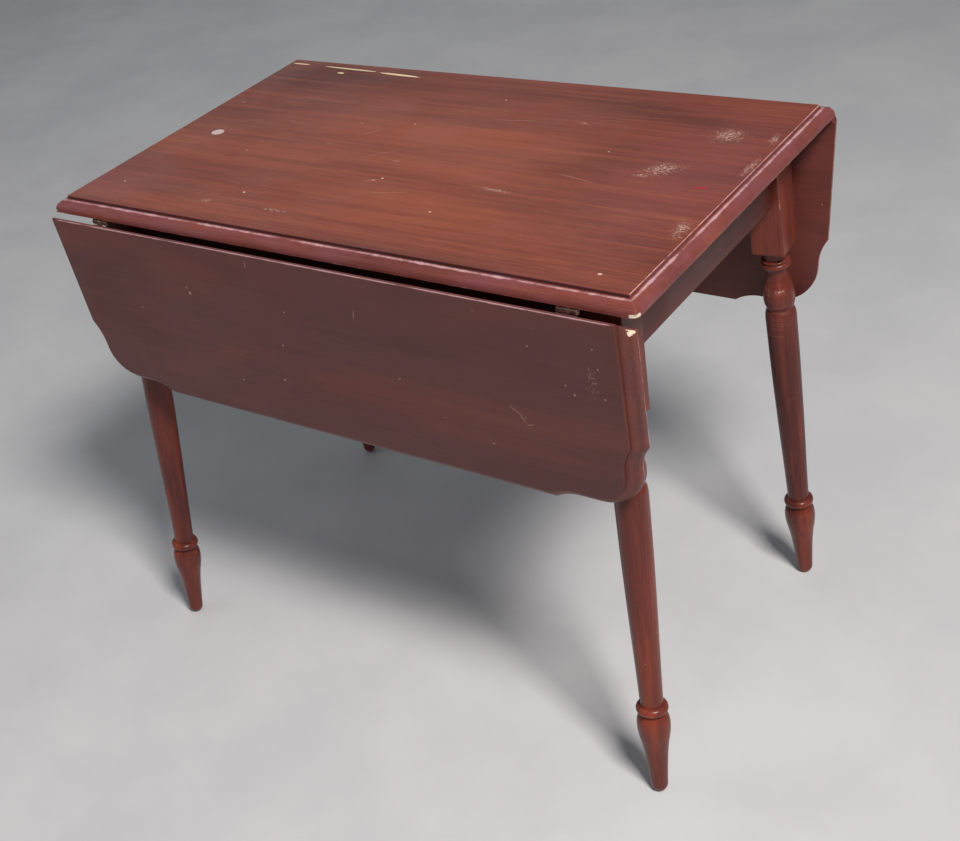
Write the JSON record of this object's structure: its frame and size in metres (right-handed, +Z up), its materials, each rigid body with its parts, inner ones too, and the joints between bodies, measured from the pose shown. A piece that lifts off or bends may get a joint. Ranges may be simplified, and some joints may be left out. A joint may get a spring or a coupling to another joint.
{
  "type": "drop leaf table",
  "caption": "Small drop leaf table with a moulded top, two shaped leaves on rule joints, splayed turned legs and pull-out leaf supports.",
  "frame": {"origin": "on the floor under the centre of the top", "axes": "+X along the length to the right, +Y to the back, +Z up"},
  "size_m": [0.87, 0.5814, 0.745],
  "materials": {
    "top_wood": "satin, worn red-brown mahogany stain",
    "leaf_wood": "satin, dark red-brown stain",
    "leg_wood": "satin, red-brown stain, rubbed on the rings",
    "rail_wood": "dull dark red-brown stain",
    "frame_wood": "bare planed hardwood, darkened with age",
    "peg_wood": "bare dowel",
    "hinge_metal": "dulled brassed steel",
    "screw_steel": "dull steel"
  },
  "bodies": {
    "table": {"top_board": "top_wood", "leg_front_left": "leg_wood", "leg_front_right": "leg_wood", "leg_back_left": "leg_wood", "leg_back_right": "leg_wood", "rail_front": "rail_wood", "rail_back": "rail_wood", "rail_left": "rail_wood", "rail_right": "rail_wood", "brace_front_left": "frame_wood", "brace_front_right": "frame_wood", "brace_back_left": "frame_wood", "brace_back_right": "frame_wood", "brace_screws": "screw_steel", "top_screws": "screw_steel", "slide_guide": "frame_wood", "slide_guide_screws": "screw_steel", "hinge_front_left_top_plate": "hinge_metal", "hinge_front_left_pin": "hinge_metal", "hinge_front_right_top_plate": "hinge_metal", "hinge_front_right_pin": "hinge_metal", "hinge_back_left_top_plate": "hinge_metal", "hinge_back_left_pin": "hinge_metal", "hinge_back_right_top_plate": "hinge_metal", "hinge_back_right_pin": "hinge_metal", "hinge_screws_top": "screw_steel"},
    "front_leaf": {"front_leaf": "leaf_wood", "hinge_front_left_leaf_plate": "hinge_metal", "hinge_front_right_leaf_plate": "hinge_metal", "hinge_screws_front_leaf": "screw_steel"},
    "back_leaf": {"back_leaf": "leaf_wood", "hinge_back_left_leaf_plate": "hinge_metal", "hinge_back_right_leaf_plate": "hinge_metal", "hinge_screws_back_leaf": "screw_steel"},
    "front_slide": {"slide_front": "frame_wood", "stop_peg_front": "peg_wood"},
    "back_slide": {"slide_back": "frame_wood", "stop_peg_back": "peg_wood"}
  },
  "joints": [
    {"name": "front_leaf_hinge", "type": "hinge", "parent": "table", "child": "front_leaf", "pos_m": [0, -0.266, 0.721], "axis": [-1, 0, 0], "range_deg": [0, 95.3]},
    {"name": "back_leaf_hinge", "type": "hinge", "parent": "table", "child": "back_leaf", "pos_m": [0, 0.266, 0.721], "axis": [1, 0, 0], "range_deg": [0, 95.3]},
    {"name": "front_slide_pull", "type": "slide", "parent": "table", "child": "front_slide", "axis": [0, -1, 0], "range_m": [0, 0.045]},
    {"name": "back_slide_pull", "type": "slide", "parent": "table", "child": "back_slide", "axis": [0, 1, 0], "range_m": [0, 0.045]}
  ]
}
